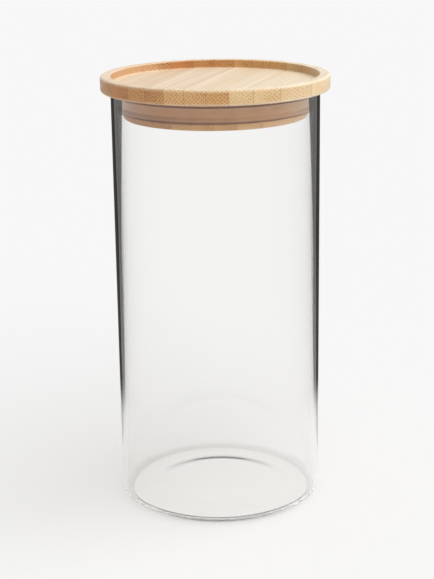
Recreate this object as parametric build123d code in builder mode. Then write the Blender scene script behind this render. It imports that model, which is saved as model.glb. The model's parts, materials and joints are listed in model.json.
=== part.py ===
from build123d import *
import os

# Lidded glass canister: a straight round glass jar, and a lid turned from a board of glued
# bamboo strips, with a silicone seal ring on its plug. Millimetres, +Z up. The origin is the
# centre of the jar's foot, on the surface that the jar stands on.

# Glass jar
jar_radius = 50.0
jar_height = 204.7
wall = 2.0
outer_corner = 5.0
inner_corner = 3.0
base_slope_outer = 34.5
base_slope_inner = 26.5
foot_hollow = 1.45
floor_rise = 1.2
base_bend = 38.0
glass_rim_round = 0.8

# Lid: a flange that rests on the glass rim, a shallow tray in its top, and a plug below it
flange_radius = 54.8
flange_thickness = 7.3
flange_round = 1.2
tray_radius = 49.6
tray_depth = 3.9
tray_rim_round = 0.7
tray_floor_round = 0.8
plug_depth = 12.7
plug_lip_radius = 44.9
plug_lip_height = 2.9
plug_lip_round = 0.6
groove_radius = 43.4

# Bamboo board that the lid is turned from: straight strips, glued face to face
strip_width = 9.7
first_glue_line = -45.0
glue_line_count = 11
grain_angle = 71.5
board_half_width = 60.0

# Silicone seal ring in the groove: a thin body, a bead at its foot and a lip at its top
seal_top_gap = 0.5
seal_lip_clearance = 0.2
seal_lip_height = 1.0
seal_lip_flare = 1.6
seal_body_radius = 46.4
seal_bead_radius = 47.3
seal_bead_height = 1.6
seal_bead_slope = 1.0
seal_foot_radius = 44.8
seal_foot_slope = 0.8
seal_round = 0.3

# Radii and heights that follow from those
inner_radius = jar_radius - wall
foot_radius = jar_radius - outer_corner
floor_radius = inner_radius - inner_corner
floor_top = wall + floor_rise
lid_top = jar_height + flange_thickness
tray_floor = lid_top - tray_depth
plug_bottom = jar_height - plug_depth
plug_lip_top = plug_bottom + plug_lip_height
seal_top = jar_height - seal_top_gap
seal_lip_radius = inner_radius - seal_lip_clearance
seal_bead_bottom = plug_lip_top + seal_foot_slope
seal_bead_top = seal_bead_bottom + seal_bead_height

os.makedirs("parts", exist_ok=True)


def corners_at(profile, radius):
    """The corners of a turned profile that lie at one distance from its axis."""
    return profile.vertices().filter_by_position(Axis.X, radius, radius)


def rings_of(turned_part, radius):
    """The circular edges of a turned part that have one radius."""
    rings = turned_part.edges().filter_by(GeomType.CIRCLE)
    return rings.filter_by(lambda ring: abs(ring.radius - radius) < 0.01)


# The jar: one thickness of glass all round, with a rounded corner. Inside its flat foot ring the
# base rises in a soft step, and its middle is flat.
with BuildPart() as glass_jar:
    with BuildSketch(Plane.XZ) as jar_profile:
        with BuildLine():
            Polyline(
                (0, floor_top),
                (0, foot_hollow),
                (base_slope_inner, foot_hollow),
                (base_slope_outer, 0),
                (foot_radius, 0),
            )
            RadiusArc((foot_radius, 0), (jar_radius, outer_corner), -outer_corner)
            Polyline(
                (jar_radius, outer_corner),
                (jar_radius, jar_height),
                (inner_radius, jar_height),
                (inner_radius, wall + inner_corner),
            )
            RadiusArc((inner_radius, wall + inner_corner), (floor_radius, wall), inner_corner)
            Polyline(
                (floor_radius, wall),
                (base_slope_outer, wall),
                (base_slope_inner, floor_top),
                (0, floor_top),
            )
        make_face()
        fillet(jar_profile.vertices().group_by(Axis.Y)[-1], glass_rim_round)
        fillet(corners_at(jar_profile, base_slope_outer), base_bend)
        fillet(corners_at(jar_profile, base_slope_inner), base_bend)
    revolve(axis=Axis.Z)
glass_jar.part.label = "glass_jar"
export_step(glass_jar.part, "parts/glass_jar.step")

# The whole turned lid, before its board is divided into strips
with BuildPart() as turned_lid:
    with BuildSketch(Plane.XY.offset(plug_bottom)):
        Circle(plug_lip_radius)
    extrude(amount=plug_lip_height)
    with BuildSketch(Plane.XY.offset(plug_bottom)):
        Circle(groove_radius)
    extrude(amount=plug_depth)
    with BuildSketch(Plane.XY.offset(jar_height)):
        Circle(flange_radius)
    extrude(amount=flange_thickness)
    with BuildSketch(Plane.XY.offset(lid_top)):
        Circle(tray_radius)
    extrude(amount=-tray_depth, mode=Mode.SUBTRACT)
    fillet(rings_of(turned_lid, flange_radius), flange_round)
    fillet(rings_of(turned_lid, plug_lip_radius), plug_lip_round)
    fillet(rings_of(turned_lid, tray_radius).sort_by(Axis.Z)[-1], tray_rim_round)
    fillet(rings_of(turned_lid, tray_radius).sort_by(Axis.Z)[0], tray_floor_round)

# Each bamboo strip is the part of the lid between two glue faces, which run along the grain.
# The first and last strips end at the lid's edge.
board_plane = Plane.XY.offset(plug_bottom).rotated((0, 0, grain_angle - 90))
glue_lines = [first_glue_line + strip_width * line for line in range(glue_line_count)]
strip_sides = [-board_half_width] + glue_lines + [board_half_width]
for number, (left, right) in enumerate(zip(strip_sides, strip_sides[1:]), start=1):
    with BuildPart() as lid_strip:
        add(turned_lid)
        with BuildSketch(board_plane):
            with Locations(((left + right) / 2, 0)):
                Rectangle(right - left, 2 * board_half_width)
        extrude(amount=lid_top - plug_bottom, mode=Mode.INTERSECT)
    lid_strip.part.label = f"lid_strip_{number:02d}"
    export_step(lid_strip.part, f"parts/{lid_strip.part.label}.step")

# The seal ring, stretched into the groove under the flange
with BuildPart() as seal_ring:
    with BuildSketch(Plane.XZ) as seal_profile:
        with BuildLine():
            Polyline(
                (groove_radius, plug_lip_top),
                (seal_foot_radius, plug_lip_top),
                (seal_bead_radius, seal_bead_bottom),
                (seal_bead_radius, seal_bead_top),
                (seal_body_radius, seal_bead_top + seal_bead_slope),
                (seal_body_radius, seal_top - seal_lip_height - seal_lip_flare),
                (seal_lip_radius, seal_top - seal_lip_height),
                (seal_lip_radius, seal_top),
                (groove_radius, seal_top),
                close=True,
            )
        make_face()
        fillet(corners_at(seal_profile, seal_bead_radius), seal_round)
        fillet(corners_at(seal_profile, seal_body_radius), seal_round)
        fillet(corners_at(seal_profile, seal_lip_radius), seal_round)
    revolve(axis=Axis.Z)
seal_ring.part.label = "seal_ring"
export_step(seal_ring.part, "parts/seal_ring.step")
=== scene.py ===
import json
import math

import bmesh
import bpy
from mathutils import Matrix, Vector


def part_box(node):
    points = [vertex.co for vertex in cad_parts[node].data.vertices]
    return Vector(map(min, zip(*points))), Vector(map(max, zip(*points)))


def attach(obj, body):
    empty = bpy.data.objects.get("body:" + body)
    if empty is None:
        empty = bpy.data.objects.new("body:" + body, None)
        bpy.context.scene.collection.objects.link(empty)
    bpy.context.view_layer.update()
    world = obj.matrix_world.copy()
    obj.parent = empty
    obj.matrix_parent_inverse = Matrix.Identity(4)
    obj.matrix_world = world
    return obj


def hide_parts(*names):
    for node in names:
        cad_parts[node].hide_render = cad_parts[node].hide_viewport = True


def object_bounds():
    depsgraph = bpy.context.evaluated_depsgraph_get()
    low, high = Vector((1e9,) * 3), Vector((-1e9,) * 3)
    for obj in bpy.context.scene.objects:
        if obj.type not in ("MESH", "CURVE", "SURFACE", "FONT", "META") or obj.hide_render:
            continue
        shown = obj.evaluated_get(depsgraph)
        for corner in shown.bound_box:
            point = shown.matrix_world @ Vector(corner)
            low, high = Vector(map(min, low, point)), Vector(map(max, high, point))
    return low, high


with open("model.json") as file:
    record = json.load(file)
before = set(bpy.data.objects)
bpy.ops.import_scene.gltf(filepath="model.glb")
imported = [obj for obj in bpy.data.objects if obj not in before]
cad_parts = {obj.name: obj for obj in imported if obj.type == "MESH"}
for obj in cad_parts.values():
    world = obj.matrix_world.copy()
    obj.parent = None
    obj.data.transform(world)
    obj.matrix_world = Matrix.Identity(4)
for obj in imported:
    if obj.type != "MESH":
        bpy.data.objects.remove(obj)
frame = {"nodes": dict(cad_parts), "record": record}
cad_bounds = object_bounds()

# Lengths are in metres, angles in degrees.
MM = 0.001

# The jar's turned section, which its box doesn't give
WALL = 2.0 * MM
OUTER_CORNER = 5.0 * MM
INNER_CORNER = 3.0 * MM
FLOOR_HEIGHT = 2.0 * MM
FOOT_RING_WIDTH = 7.0 * MM
FOOT_HOLLOW = 1.45 * MM
FLOOR_DOME = 1.2 * MM
BASE_STEP_WIDTH = 13.0 * MM
BASE_STEPS = 60
RIM_ROUND = 0.8 * MM
TURNED_SEGMENTS = 384

# The bamboo board: which way its grain runs, and where its glue lines lie across the grain
GRAIN_ANGLE = 71.5
STRIP_WIDTH = 9.7 * MM
FIRST_GLUE_LINE = -45.0 * MM

# Glass. The painted dark edge starts at EDGE_START, a Layer Weight from 0 face-on to 1 edge-on.
CLEAR = (1.0, 1.0, 1.0, 1.0)
GLASS_IOR = 1.47
GLASS_TINT = (0.90, 0.892, 0.868, 1.0)
GLASS_DENSITY = 80.0
GLASS_SHADOW = (0.998, 0.998, 0.996, 1.0)
EDGE_PAINTED_SHADE = (0.03, 0.027, 0.0235, 1.0)
EDGE_START_TOP = 0.53
EDGE_START_FOOT = 0.90
EDGE_SOFTNESS = 0.02
EDGE_FADE_LOW = 40.0 * MM
EDGE_FADE_HIGH = 75.0 * MM
CORNER_TINT = (0.94, 0.94, 0.94, 1.0)
CORNER_REACH = 1.1 * OUTER_CORNER
CORNER_START = 0.8 * MM
SMUDGE_ROUGHNESS = 0.035
FOOT_WEAR_HEIGHT = 0.3 * MM
FOOT_WEAR_ROUGHNESS = 0.06

# Bamboo
STREAK_SCALE = (1100.0, 9.0, 1100.0)
BAND_SCALE = (300.0, 5.0, 300.0)
CLOUD_SCALE = (60.0, 22.0, 60.0)
BUNDLE_SCALE = 820.0
BUNDLE_TURN = 45.0
FAINTEST_DOTS = 0.08
GLUE_EDGE = 0.02 * MM
GLUE_WIDTH = 0.25 * MM
GLUE_STRENGTH = 0.38
WEAR_HIGHLIGHT_START = 0.4 * MM
WEAR_HIGHLIGHT_END = 1.6 * MM
WEAR_POLISH = 0.15
PLUG_SHADE_BLEND = 1.0 * MM
PLUG_SHADE_STRENGTH = 0.4

# Silicone. The dark bands are painted shade at its top and bottom, where the wood above and below it
# shades it.
SILICONE_IOR = 1.41
SILICONE_SHADOW = (0.95, 0.925, 0.9, 1.0)
TOP_SHADE_BAND = (2.1 * MM, 1.1 * MM)
BOTTOM_SHADE_BAND = (0.8 * MM, 2.0 * MM)

# The tent, a dark tube round the jar
TENT_RADIUS = 62.0 * MM
TENT_TONE = (0.12, 0.108, 0.095, 1.0)
TENT_FADE_LOW = 30.0 * MM
TENT_FADE_HIGH = 52.0 * MM
TENT_REACH_FOOT = 28.7 * MM
TENT_REACH_TOP = 25.6 * MM
TENT_TOP_LEVEL = 134.0 * MM
TENT_REACH_STEP = 1.0 * MM
TENT_VEIL = 0.35
TENT_VEIL_START = -14.0 * MM
TENT_VEIL_END = -4.0 * MM

# The rest of the studio
FLOOR_GAP = 0.3 * MM
FLOOR_RADIUS = 6.0
FLOOR_TONE = (0.95, 0.95, 0.95, 1.0)
SKY_LIGHT = 0.32
SKY_SHOWN = 0.93
KEY_AZIMUTH = 58.0
KEY_ELEVATION = 53.0
KEY_POWER = 2.6
KEY_SOFTNESS = 75.0
GLOSSY_BOUNCES = 7
OTHER_BOUNCES = 32

# Camera
CAMERA_SIDE = -0.0005
CAMERA_DISTANCE = 0.6931
CAMERA_HEIGHT = 0.3073
CAMERA_TILT = 16.29
CAMERA_ROLL = -0.795
CAMERA_LENS = 90.4
CAMERA_SENSOR = 36.0
CAMERA_CLIP = 50.0


# ---------------------------------------------------------------- mesh helpers

def mesh_object(name, bm, material):
    """A smooth-shaded object from a bmesh, with its normals facing out."""
    bmesh.ops.recalc_face_normals(bm, faces=bm.faces)
    mesh = bpy.data.meshes.new(name)
    bm.to_mesh(mesh)
    bm.free()
    for face in mesh.polygons:
        face.use_smooth = True
    piece = bpy.data.objects.new(name, mesh)
    bpy.context.scene.collection.objects.link(piece)
    mesh.materials.append(material)
    return piece


def arc(centre, radius, start, end, steps):
    """Points (r, z) along an arc, from one angle to another, both included."""
    angles = [math.radians(start + (end - start) * i / steps) for i in range(steps + 1)]
    return [(centre[0] + radius * math.cos(a), centre[1] + radius * math.sin(a)) for a in angles]


def turned(profile, segments):
    """A bmesh turned about Z from an open profile of (r, z) points that starts and ends on Z."""
    bm = bmesh.new()
    angles = [2 * math.pi * i / segments for i in range(segments)]
    rings = []
    for radius, height in profile:
        if radius < 1e-7:
            rings.append([bm.verts.new((0, 0, height))])
            continue
        points = [(radius * math.cos(a), radius * math.sin(a), height) for a in angles]
        rings.append([bm.verts.new(point) for point in points])
    for low, high in zip(rings, rings[1:]):
        for i in range(segments):
            j = (i + 1) % segments
            corners = [low[i % len(low)], low[j % len(low)], high[j % len(high)], high[i % len(high)]]
            bm.faces.new(list(dict.fromkeys(corners)))
    return bm


# ---------------------------------------------------------------- material helpers

class Nodes:
    """A short way to write a procedural material as node expressions."""

    def __init__(self, name):
        self.material = bpy.data.materials.new(name)
        self.material.use_nodes = True
        self.tree = self.material.node_tree
        self.shader = self.tree.nodes["Principled BSDF"]
        self.output = self.tree.nodes["Material Output"]

    def add(self, kind, inputs=None, **settings):
        node = self.tree.nodes.new("ShaderNode" + kind)
        for name, value in settings.items():
            setattr(node, name, value)
        for name, value in (inputs or {}).items():
            self.put(node.inputs[name], value)
        return node

    def put(self, socket, value):
        """Links a socket to another node's output, or sets it to a constant."""
        if isinstance(value, bpy.types.NodeSocket):
            self.tree.links.new(value, socket)
        else:
            socket.default_value = value

    def math(self, operation, a, b=0.0, c=0.0):
        return self.add("Math", {0: a, 1: b, 2: c}, operation=operation).outputs[0]

    def times(self, first, *others):
        """The product of two or more values."""
        product = first
        for other in others:
            product = self.math("MULTIPLY", product, other)
        return product

    def ramp(self, value, low, high, to_low=0.0, to_high=1.0):
        inputs = {"Value": value, "From Min": low, "From Max": high, "To Min": to_low, "To Max": to_high}
        return self.add("MapRange", inputs, interpolation_type="SMOOTHSTEP").outputs[0]

    def blend(self, factor, a, b):
        node = self.add("Mix", data_type="RGBA")
        self.put(node.inputs[0], factor)
        self.put(node.inputs[6], a)
        self.put(node.inputs[7], b)
        return node.outputs[2]

    def noise(self, vector, scale, detail=2.0, roughness=0.5):
        inputs = {"Vector": vector, "Scale": scale, "Detail": detail, "Roughness": roughness}
        return self.add("TexNoise", inputs).outputs[0]

    def stretch(self, vector, scale, offset=(0.0, 0.0, 0.0)):
        return self.add("Mapping", {"Vector": vector, "Scale": scale, "Location": offset}).outputs[0]

    def bump(self, height, strength, distance):
        inputs = {"Height": height, "Strength": strength, "Distance": distance}
        return self.add("Bump", inputs).outputs[0]

    def place(self):
        """The point on the object, in its own coordinates."""
        return self.add("TexCoord").outputs["Object"]

    def split(self, vector):
        return self.add("SeparateXYZ", {0: vector}).outputs

    def from_axis(self, x, y):
        """Distance from the canister's axis."""
        return self.math("SQRT", self.math("ADD", self.times(x, x), self.times(y, y)))

    def edge_on(self):
        """0 where the surface is seen face-on, 1 where it is seen edge-on."""
        return self.add("LayerWeight", {"Blend": 0.5}).outputs["Facing"]

    def set(self, **values):
        """Sets the main shader's sockets, named with _ for a space."""
        for name, value in values.items():
            self.put(self.shader.inputs[name.replace("_", " ")], value)

    def show_mix(self, factor, first, second):
        """Makes the surface a mix of two shaders, all the second one where the factor is 1."""
        mix = self.add("MixShader", {0: factor})
        self.tree.links.new(first, mix.inputs[1])
        self.tree.links.new(second, mix.inputs[2])
        self.tree.links.new(mix.outputs[0], self.output.inputs["Surface"])


def rgb(red, green, blue):
    """A linear colour from sRGB values out of 255."""
    def linear(value):
        share = value / 255
        return share / 12.92 if share <= 0.04045 else ((share + 0.055) / 1.055) ** 2.4
    return (linear(red), linear(green), linear(blue), 1.0)


def let_light_through(n, tint, always=0.0):
    """Light on its way to a matt surface passes straight through, dimmed by the tint, so what is
    behind or under the piece stays bright and its shadow stays faint. Where always is 1, every
    ray passes straight through, and the piece shows only as the tint."""
    path = n.add("LightPath").outputs
    soft = n.math("MAXIMUM", path["Is Shadow Ray"], path["Is Diffuse Ray"])
    clear = n.add("BsdfTransparent", {"Color": tint})
    n.show_mix(n.math("MAXIMUM", soft, always), n.shader.outputs[0], clear.outputs[0])


# ---------------------------------------------------------------- glass

def painted_edge_shade(n, distance, z, radius, height):
    """Painted shade: a dark colour on the outer wall where it is seen nearly edge-on. It stands for the
    grey band inside the real jar's dark edges, is widest at the mouth and fades out above the foot."""
    start = n.add("MapRange", {
        "Value": z, "From Max": height, "To Min": EDGE_START_FOOT, "To Max": EDGE_START_TOP,
    })
    past = n.math("SUBTRACT", n.edge_on(), start.outputs[0])
    outside = n.math("GREATER_THAN", distance, radius - 0.5 * WALL)
    above_foot = n.ramp(z, EDGE_FADE_LOW, EDGE_FADE_HIGH)
    edge = n.times(n.ramp(past, 0.0, EDGE_SOFTNESS), outside, above_foot)
    return n.blend(edge, CLEAR, EDGE_PAINTED_SHADE)


def glass_material(radius, height):
    """Clear, slightly wavy glass with a few smudges, painted shade along its edges, and a foot dulled by
    standing on tables.
    """
    n = Nodes("clear_glass")
    place = n.place()
    x, y, z = n.split(place)
    distance = n.from_axis(x, y)
    waves = n.noise(n.stretch(place, (1.0, 1.0, 0.35)), 28.0, 1.0)
    smudges = n.ramp(n.noise(place, 60.0, 4.0, 0.6), 0.55, 0.8, 0.0, SMUDGE_ROUGHNESS)
    foot_wear = n.ramp(z, 0.0, FOOT_WEAR_HEIGHT, FOOT_WEAR_ROUGHNESS, 0.0)
    n.set(
        Base_Color=painted_edge_shade(n, distance, z, radius, height),
        Transmission_Weight=1.0,
        IOR=GLASS_IOR,
        Roughness=n.math("ADD", smudges, foot_wear),
        Normal=n.bump(waves, 0.02, 1.0 * MM),
    )
    # The rounded corner at the foot would refract to a black line, so it is mostly see-through.
    in_corner = n.math("GREATER_THAN", distance, radius - CORNER_REACH)
    corner = n.times(n.ramp(z, CORNER_START, OUTER_CORNER, 1.0, 0.0), in_corner)
    let_light_through(n, n.blend(corner, GLASS_SHADOW, CORNER_TINT), corner)
    body = n.add("VolumeAbsorption", {"Color": GLASS_TINT, "Density": GLASS_DENSITY})
    n.tree.links.new(body.outputs[0], n.output.inputs["Volume"])
    return n.material


# ---------------------------------------------------------------- bamboo

# For each slot: the pale and dark tones of the long grain, then of the end grain
BAMBOO_TONES = {
    "bamboo_tan": [rgb(240, 220, 194), rgb(228, 200, 166), rgb(207, 153, 97), rgb(187, 129, 77)],
    "bamboo_red": [rgb(238, 216, 188), rgb(224, 193, 156), rgb(204, 143, 88), rgb(184, 121, 70)],
    "bamboo_golden": [rgb(244, 226, 198), rgb(233, 207, 171), rgb(225, 179, 123), rgb(208, 159, 101)],
    "bamboo_light": [rgb(247, 232, 208), rgb(238, 217, 184), rgb(226, 194, 146), rgb(213, 176, 126)],
}
# How strongly the fibre bundles show as dots, for each slot
DOT_STRENGTH = {"bamboo_tan": 1.0, "bamboo_red": 0.5, "bamboo_golden": 0.85, "bamboo_light": 0.5}
BUNDLE_BROWN = rgb(120, 74, 40)
PLUG_SHADE_BROWN = rgb(196, 138, 74)
GLUE_BROWN = rgb(140, 96, 58)


def bundle_dots(n, across, z):
    """Fibre bundles: 1 in the middle of each. They run the whole length of a strip, so their
    pattern depends only on the place across the grain and the height."""
    section = n.add("CombineXYZ", {0: across, 1: z}).outputs[0]
    packed = n.add("Mapping", {
        "Vector": section,
        "Rotation": (0.0, 0.0, math.radians(BUNDLE_TURN)),
        "Scale": (BUNDLE_SCALE, BUNDLE_SCALE, 1.0),
    })
    inputs = {"Vector": packed.outputs[0], "Scale": 1.0, "Randomness": 0.4}
    cells = n.add("TexVoronoi", inputs, voronoi_dimensions="2D")
    return n.ramp(cells.outputs["Distance"], 0.1, 0.36, 1.0, 0.0)


def cut_faces(n):
    """How far a face cuts across the grain, and how far it is a side rather than the top, which sets
    painted shade on the sides.
    """
    normal = n.add("NewGeometry").outputs["Normal"]
    grain = (math.cos(math.radians(GRAIN_ANGLE)), math.sin(math.radians(GRAIN_ANGLE)), 0.0)
    facing = n.add("VectorMath", {0: normal, 1: grain}, operation="DOT_PRODUCT").outputs["Value"]
    end_grain = n.ramp(n.math("ABSOLUTE", facing), 0.2, 0.75)
    upward = n.math("ABSOLUTE", n.split(normal)["Z"])
    return end_grain, n.ramp(upward, 0.3, 0.8, 0.7, 0.0)


def glue_line(n, across, left, right, end_grain):
    """Thin dark lines along a strip's two glued faces, clearest on the end grain."""
    to_side = n.math("MINIMUM", n.math("SUBTRACT", across, left), n.math("SUBTRACT", right, across))
    glue = n.ramp(to_side, GLUE_EDGE, GLUE_WIDTH, GLUE_STRENGTH, 0.0)
    return n.times(glue, n.ramp(end_grain, 0.0, 1.0, 0.5, 1.0))


def flange_wear_and_highlight(n, place, mouth, cloud):
    """Wear along the flange's upper and lower outer edges, uneven as from handling, and a painted
    highlight on the same rounded edges.
    """
    x, y, z = n.split(place)
    rim = cad_bounds[1]
    from_top = n.math("SUBTRACT", rim.z, z)
    from_underside = n.math("ABSOLUTE", n.math("SUBTRACT", z, mouth))
    from_outside = n.math("SUBTRACT", rim.x, n.from_axis(x, y))
    from_edge = n.math("ADD", from_outside, n.math("MINIMUM", from_top, from_underside))
    return n.times(n.ramp(from_edge, WEAR_HIGHLIGHT_START, WEAR_HIGHLIGHT_END, 1.0, 0.0), n.ramp(cloud, 0.3, 0.7, 0.25, 0.6))


def bamboo_material(name, slot, seed, left, right):
    """Bamboo strip between two glued faces: its fibre bundles show as dots where the turned lid
    cuts across the grain, and it has fine streaks along the grain."""
    n = Nodes(name)
    face_pale, face_dark, end_pale, end_dark = BAMBOO_TONES[slot]
    place = n.place()
    turn = (0.0, 0.0, math.radians(90.0 - GRAIN_ANGLE))
    board = n.add("Mapping", {"Vector": place, "Rotation": turn}).outputs[0]
    across, _, z = n.split(board)

    shift = (3.1 * seed, 1.7 * seed, 0.9 * seed)
    streaks = n.noise(n.stretch(board, STREAK_SCALE, shift), 1.0, 3.0, 0.6)
    bands = n.noise(n.stretch(board, BAND_SCALE, shift), 1.0)
    cloud = n.noise(n.stretch(board, CLOUD_SCALE, shift), 1.0)
    bundles = bundle_dots(n, across, z)
    end_grain, side = cut_faces(n)

    # The top is paler than the sides: end grain is darker, and every side face also gets painted shade,
    # as if lit less than the top.
    tone = n.math("ADD", n.times(bands, 0.6), n.times(streaks, 0.4))
    face = n.blend(n.ramp(tone, 0.35, 0.65), face_pale, face_dark)
    end = n.blend(n.ramp(cloud, 0.35, 0.65), end_pale, end_dark)
    colour = n.blend(n.math("MAXIMUM", end_grain, side), face, end)

    # Bundles crowd towards one face of each strip, which was next to the stem's skin.
    skin_side = n.ramp(across, left, right, 0.55, 1.0)
    end_dots = (1.0 - FAINTEST_DOTS) * DOT_STRENGTH[slot]
    dot_strength = n.math("MULTIPLY_ADD", end_grain, end_dots, FAINTEST_DOTS)
    colour = n.blend(n.times(bundles, skin_side, dot_strength), colour, BUNDLE_BROWN)
    colour = n.blend(glue_line(n, across, left, right, end_grain), colour, GLUE_BROWN)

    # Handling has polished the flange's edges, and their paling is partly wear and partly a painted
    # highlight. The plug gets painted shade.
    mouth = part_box("glass_jar")[1].z
    wear_and_highlight = flange_wear_and_highlight(n, place, mouth, cloud)
    # Paler edges: worn, and also a painted highlight on the rounded edges.
    colour = n.blend(wear_and_highlight, colour, face_pale)
    # Painted shade on the plug below the jar's mouth, which sits in the shade under the flange.
    colour = n.blend(n.ramp(z, mouth - PLUG_SHADE_BLEND, mouth, PLUG_SHADE_STRENGTH, 0.0), colour, PLUG_SHADE_BROWN)

    height = n.math("ADD", n.times(streaks, 0.5), n.times(bundles, -0.5))
    n.set(
        Base_Color=colour,
        Roughness=n.math("MULTIPLY_ADD", wear_and_highlight, -WEAR_POLISH, n.ramp(streaks, 0.3, 0.7, 0.42, 0.6)),
        Normal=n.bump(height, 0.35, 0.1 * MM),
    )
    return n.material


# ---------------------------------------------------------------- silicone

SEAL_SHADE_BROWN = rgb(116, 58, 20)


def silicone_material():
    """Milky translucent silicone with a faint bloom, a painted sheen that makes it paler where it is
    seen edge-on, and bands of painted shade at its top and bottom.
    """
    n = Nodes("silicone")
    place = n.place()
    z = n.split(place)["Z"]
    bloom = n.noise(place, 220.0, 3.0, 0.6)
    low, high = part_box("seal_ring")
    # Painted shade in bands at the top and bottom of the seal, where the wood above and below it shades
    # it.
    above = n.ramp(z, high.z - TOP_SHADE_BAND[0], high.z - TOP_SHADE_BAND[1])
    below = n.ramp(z, low.z + BOTTOM_SHADE_BAND[0], low.z + BOTTOM_SHADE_BAND[1], 1.0, 0.0)
    seal_shade = n.math("MAXIMUM", above, below)
    milky_and_sheen = n.blend(n.ramp(bloom, 0.3, 0.7), rgb(238, 206, 174), rgb(229, 193, 158))
    # Painted sheen: the seal turns paler where it is seen edge-on.
    milky_and_sheen = n.blend(n.ramp(n.edge_on(), 0.15, 0.65), milky_and_sheen, rgb(252, 238, 222))
    n.set(
        Base_Color=n.blend(seal_shade, milky_and_sheen, SEAL_SHADE_BROWN),
        Transmission_Weight=0.82,
        IOR=SILICONE_IOR,
        Roughness=n.ramp(bloom, 0.3, 0.7, 0.3, 0.42),
        Normal=n.bump(bloom, 0.1, 0.2 * MM),
    )
    let_light_through(n, SILICONE_SHADOW)
    return n.material


# ---------------------------------------------------------------- the canister

def base_curve(level, edge, rise):
    """Points (r, z) from the middle of the base out to its foot ring: flat, then a soft step."""
    points = []
    for i in range(BASE_STEPS + 1):
        radius = edge * i / BASE_STEPS
        share = min(max((edge - radius) / BASE_STEP_WIDTH, 0.0), 1.0)
        points.append((radius, level + rise * share * share * (3 - 2 * share)))
    return points


def make_jar():
    """The glass jar, turned finely enough for clean refraction; it stands for the CAD jar."""
    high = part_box("glass_jar")[1]
    radius = high.x
    height = high.z
    inner = radius - WALL
    foot = radius - OUTER_CORNER
    hollow = foot - FOOT_RING_WIDTH
    profile = base_curve(0, hollow, FOOT_HOLLOW)
    profile += arc((foot, OUTER_CORNER), OUTER_CORNER, -90, 0, 16)
    profile += arc((radius - RIM_ROUND, height - RIM_ROUND), RIM_ROUND, 0, 90, 8)
    profile += arc((inner + RIM_ROUND, height - RIM_ROUND), RIM_ROUND, 90, 180, 8)
    profile += arc((inner - INNER_CORNER, FLOOR_HEIGHT + INNER_CORNER), INNER_CORNER, 0, -90, 24)
    profile += base_curve(FLOOR_HEIGHT, hollow, FLOOR_DOME)[::-1]
    glass = glass_material(radius, height)
    jar = mesh_object("glass_jar_clear", turned(profile, TURNED_SEGMENTS), glass)
    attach(jar, "jar")
    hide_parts("glass_jar")


def dress(node, material):
    """Puts one material on a CAD node."""
    node.data.materials.clear()
    node.data.materials.append(material)


def finish_lid():
    """Gives each bamboo strip and the seal ring its own material."""
    slots = {part["node"]: part["material_slot"] for part in frame["record"]["subparts"]}
    strips = sorted(name for name in frame["nodes"] if name.startswith("lid_strip"))
    for index, name in enumerate(strips):
        left = FIRST_GLUE_LINE + STRIP_WIDTH * (index - 1)
        material = bamboo_material(name, slots[name], index + 1, left, left + STRIP_WIDTH)
        dress(frame["nodes"][name], material)
    dress(frame["nodes"]["seal_ring"], silicone_material())


# ---------------------------------------------------------------- studio

def make_floor():
    """A wide pale floor, a hair below the foot so that the two faces don't coincide."""
    n = Nodes("floor_white")
    n.set(Base_Color=FLOOR_TONE, Roughness=0.9, Specular_IOR_Level=0.0)
    bm = bmesh.new()
    bmesh.ops.create_circle(bm, cap_ends=True, segments=128, radius=FLOOR_RADIUS)
    bmesh.ops.translate(bm, vec=(0, 0, -FLOOR_GAP), verts=bm.verts)
    mesh_object("floor", bm, n.material)


def tent_shown(n):
    """How much of the tent a ray sees. The ray has to have been reflected, and it never sees the
    tent after crossing the jar from one wall to the other. The nearer the jar's edge a ray left
    the glass, the further it travels to the tube, so only rays past a set length see it fully,
    and shorter ones see a weak veil. The length suits low views: from high above, more rays are
    past it, and the sides of the wall turn nearly black."""
    path = n.add("LightPath").outputs
    bounced = n.math("GREATER_THAN", path["Glossy Depth"], 0.5)
    crossed = n.math("COMPARE", path["Transmission Depth"], 3.5, 0.6)
    height = n.split(n.place())["Z"]
    reach = n.add("MapRange", {
        "Value": height, "From Min": TENT_FADE_HIGH, "From Max": TENT_TOP_LEVEL,
        "To Min": TENT_REACH_FOOT, "To Max": TENT_REACH_TOP,
    })
    beyond = n.math("SUBTRACT", path["Ray Length"], reach.outputs[0])
    veil = n.ramp(beyond, TENT_VEIL_START, TENT_VEIL_END, 0.0, TENT_VEIL)
    near_edge = n.math("MAXIMUM", veil, n.ramp(beyond, 0.0, TENT_REACH_STEP))
    above_foot = n.ramp(height, TENT_FADE_LOW, TENT_FADE_HIGH)
    return n.times(bounced, n.math("SUBTRACT", 1.0, crossed), near_edge, above_foot)


def make_tent():
    """A dark tube just outside the jar, in place of the dark cards that glass is photographed
    with: it gives the walls their dark edges from any low angle and leaves the middle clear."""
    n = Nodes("tent_black")
    n.tree.nodes.remove(n.shader)
    glow = n.add("Emission", {"Color": TENT_TONE})
    n.show_mix(tent_shown(n), n.add("BsdfTransparent").outputs[0], glow.outputs[0])
    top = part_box("glass_jar")[1].z
    bm = bmesh.new()
    bmesh.ops.create_cone(
        bm, segments=TURNED_SEGMENTS, radius1=TENT_RADIUS, radius2=TENT_RADIUS, depth=top,
    )
    bmesh.ops.translate(bm, vec=(0, 0, top / 2), verts=bm.verts)
    tent = mesh_object("studio_tent", bm, n.material)
    tent.visible_camera = False
    tent.visible_diffuse = False
    tent.visible_shadow = False


def make_sun(name, azimuth, elevation, power, softness):
    """A broad soft light from far off, so that the floor is evenly lit. Reflected and refracted
    rays don't see it, so it makes no glints in the base."""
    lamp = bpy.data.lights.new(name, "SUN")
    lamp.energy = power
    lamp.angle = math.radians(softness)
    light = bpy.data.objects.new(name, lamp)
    bpy.context.scene.collection.objects.link(light)
    light.rotation_euler = (math.radians(90 - elevation), 0, math.radians(azimuth))
    light.visible_glossy = False
    light.visible_transmission = False


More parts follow.
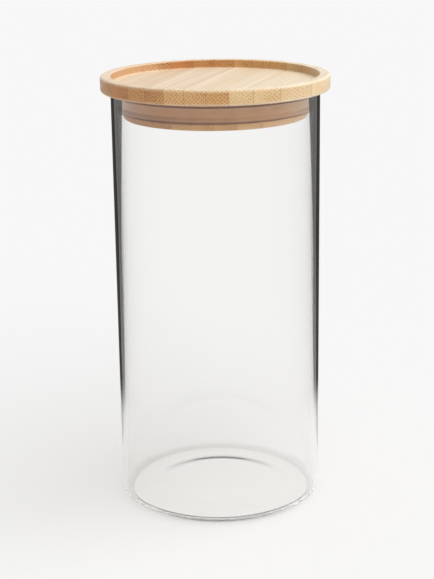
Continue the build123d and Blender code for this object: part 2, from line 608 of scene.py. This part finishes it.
def make_sky(tree):
    """Pale surroundings, which light matt surfaces less than they show."""
    sky = tree.nodes["Background"]
    path = tree.nodes.new("ShaderNodeLightPath").outputs
    seen = [path["Is Camera Ray"], path["Is Glossy Ray"], path["Is Transmission Ray"]]
    most = seen[0]
    for other in seen[1:]:
        pick = tree.nodes.new("ShaderNodeMath")
        pick.operation = "MAXIMUM"
        tree.links.new(most, pick.inputs[0])
        tree.links.new(other, pick.inputs[1])
        most = pick.outputs[0]
    level = tree.nodes.new("ShaderNodeMapRange")
    tree.links.new(most, level.inputs["Value"])
    level.inputs["To Min"].default_value = SKY_LIGHT
    level.inputs["To Max"].default_value = SKY_SHOWN
    tree.links.new(level.outputs[0], sky.inputs["Strength"])
    sky.inputs["Color"].default_value = (1.0, 1.0, 1.0, 1.0)


def make_studio():
    """The floor, the tent, the lights, and how far light may bounce. The limit on glossy bounces
    sets part of the tone of the dark arc on the jar's base."""
    make_floor()
    make_tent()
    world = bpy.data.worlds.new("studio")
    world.use_nodes = True
    make_sky(world.node_tree)
    scene = bpy.context.scene
    scene.world = world
    make_sun("key", KEY_AZIMUTH, KEY_ELEVATION, KEY_POWER, KEY_SOFTNESS)
    scene.view_settings.view_transform = "Standard"
    scene.cycles.max_bounces = OTHER_BOUNCES
    scene.cycles.glossy_bounces = GLOSSY_BOUNCES
    scene.cycles.transmission_bounces = OTHER_BOUNCES


def make_camera():
    """The camera, at the photograph's viewing angle."""
    lens = bpy.data.cameras.new("camera")
    lens.lens = CAMERA_LENS
    lens.sensor_width = CAMERA_SENSOR
    lens.clip_end = CAMERA_CLIP
    camera = bpy.data.objects.new("camera", lens)
    bpy.context.scene.collection.objects.link(camera)
    tilt = Matrix.Rotation(math.radians(90 - CAMERA_TILT), 3, "X")
    roll = Matrix.Rotation(math.radians(CAMERA_ROLL), 3, "Z")
    camera.rotation_euler = (tilt @ roll).to_euler()
    camera.location = (CAMERA_SIDE, -CAMERA_DISTANCE, CAMERA_HEIGHT)
    bpy.context.scene.camera = camera


make_camera()
make_jar()
finish_lid()
make_studio()
